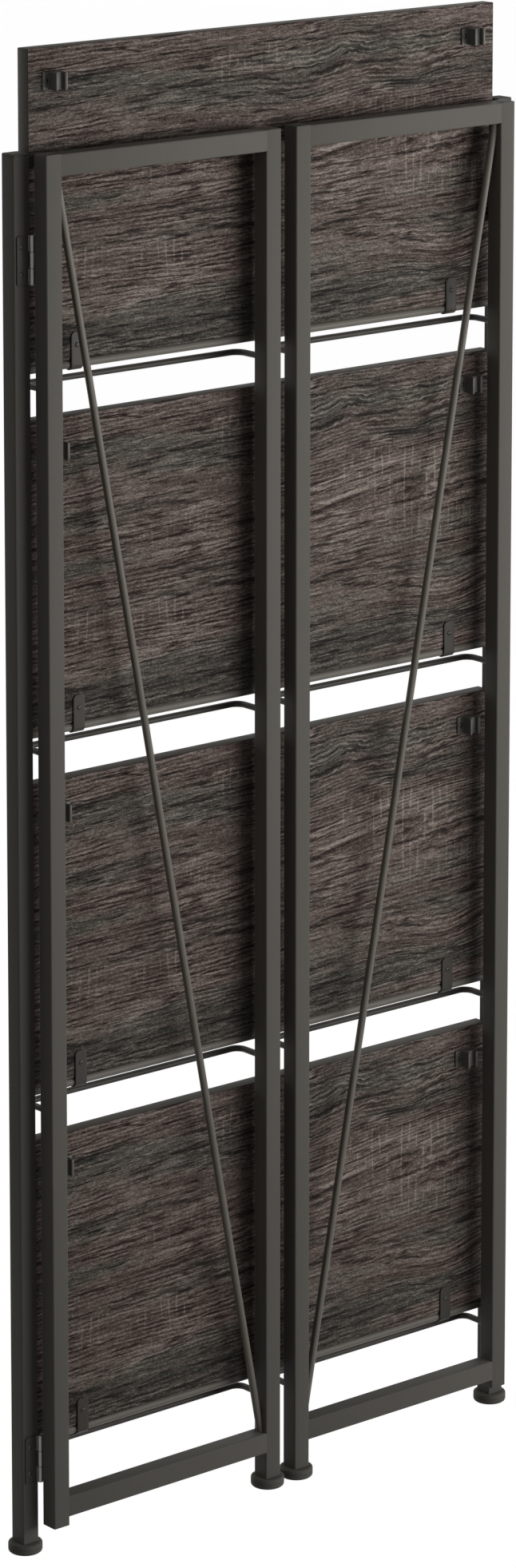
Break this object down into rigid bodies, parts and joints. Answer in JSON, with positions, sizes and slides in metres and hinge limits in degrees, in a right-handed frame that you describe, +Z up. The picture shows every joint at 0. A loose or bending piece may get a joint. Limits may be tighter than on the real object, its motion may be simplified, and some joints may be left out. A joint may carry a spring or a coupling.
{
  "type": "folding bookcase",
  "caption": "Metal-framed bookcase, folded flat: hinged side frames in front of upright wood-look shelf boards that turn on rods between the back posts.",
  "frame": {"origin": "on the floor, midway between the two back posts, in the plane of the posts' front faces", "axes": "+Z up, +X to the bookcase's right as seen from the front, the front looks along -Y"},
  "size_m": [0.614, 0.062, 1.4023],
  "materials": {
    "frame_coat": "dark warm grey powder coat, semi-matte",
    "rod": "the same coat on thin rod",
    "hardware": "dark coated steel strip",
    "plastic": "dark grey moulded plastic",
    "laminate": "charcoal oak print on board, dull"
  },
  "bodies": {
    "back_frame": {"left_post": "frame_coat", "left_post_cap": "plastic", "left_rear_foot": "plastic", "left_upper_post_leaf": "hardware", "left_lower_post_leaf": "hardware", "right_post": "frame_coat", "right_post_cap": "plastic", "right_rear_foot": "plastic", "right_upper_post_leaf": "hardware", "right_lower_post_leaf": "hardware", "hinge_rod_1": "rod", "hinge_rod_2": "rod", "hinge_rod_3": "rod", "hinge_rod_4": "rod"},
    "left_side_frame": {"left_hinge_stile": "frame_coat", "left_free_stile": "frame_coat", "left_top_rail": "frame_coat", "left_bottom_rail": "frame_coat", "left_diagonal_rod": "rod", "left_front_foot": "plastic", "left_support_rod_1": "rod", "left_support_rod_2": "rod", "left_support_rod_3": "rod", "left_support_rod_4": "rod", "left_upper_frame_leaf": "hardware", "left_lower_frame_leaf": "hardware"},
    "right_side_frame": {"right_hinge_stile": "frame_coat", "right_free_stile": "frame_coat", "right_top_rail": "frame_coat", "right_bottom_rail": "frame_coat", "right_diagonal_rod": "rod", "right_front_foot": "plastic", "right_support_rod_1": "rod", "right_support_rod_2": "rod", "right_support_rod_3": "rod", "right_support_rod_4": "rod", "right_upper_frame_leaf": "hardware", "right_lower_frame_leaf": "hardware"},
    "shelf_1": {"shelf_board_1": "laminate", "left_shelf_strap_1": "hardware", "left_shelf_clip_1": "plastic", "right_shelf_strap_1": "hardware", "right_shelf_clip_1": "plastic"},
    "shelf_2": {"shelf_board_2": "laminate", "left_shelf_strap_2": "hardware", "left_shelf_clip_2": "plastic", "right_shelf_strap_2": "hardware", "right_shelf_clip_2": "plastic"},
    "shelf_3": {"shelf_board_3": "laminate", "left_shelf_strap_3": "hardware", "left_shelf_clip_3": "plastic", "right_shelf_strap_3": "hardware", "right_shelf_clip_3": "plastic"},
    "shelf_4": {"shelf_board_4": "laminate", "left_shelf_strap_4": "hardware", "left_shelf_clip_4": "plastic", "right_shelf_strap_4": "hardware", "right_shelf_clip_4": "plastic"}
  },
  "joints": [
    {"name": "left_side_hinge", "type": "hinge", "parent": "back_frame", "child": "left_side_frame", "pos_m": [-0.282, -0.003, 0.6525], "axis": [0, 0, -1], "range_deg": [0, 90]},
    {"name": "right_side_hinge", "type": "hinge", "parent": "back_frame", "child": "right_side_frame", "pos_m": [0.282, -0.003, 0.6525], "axis": [0, 0, 1], "range_deg": [0, 90]},
    {"name": "shelf_1_hinge", "type": "hinge", "parent": "back_frame", "child": "shelf_1", "pos_m": [0, 0.009, 1.112], "axis": [1, 0, 0], "range_deg": [0, 1.5]},
    {"name": "shelf_2_hinge", "type": "hinge", "parent": "back_frame", "child": "shelf_2", "pos_m": [0, 0.009, 0.776], "axis": [1, 0, 0], "range_deg": [0, 1.5]},
    {"name": "shelf_3_hinge", "type": "hinge", "parent": "back_frame", "child": "shelf_3", "pos_m": [0, 0.009, 0.44], "axis": [1, 0, 0], "range_deg": [0, 1.5]},
    {"name": "shelf_4_hinge", "type": "hinge", "parent": "back_frame", "child": "shelf_4", "pos_m": [0, 0.009, 0.104], "axis": [1, 0, 0], "range_deg": [0, 1.5]}
  ]
}
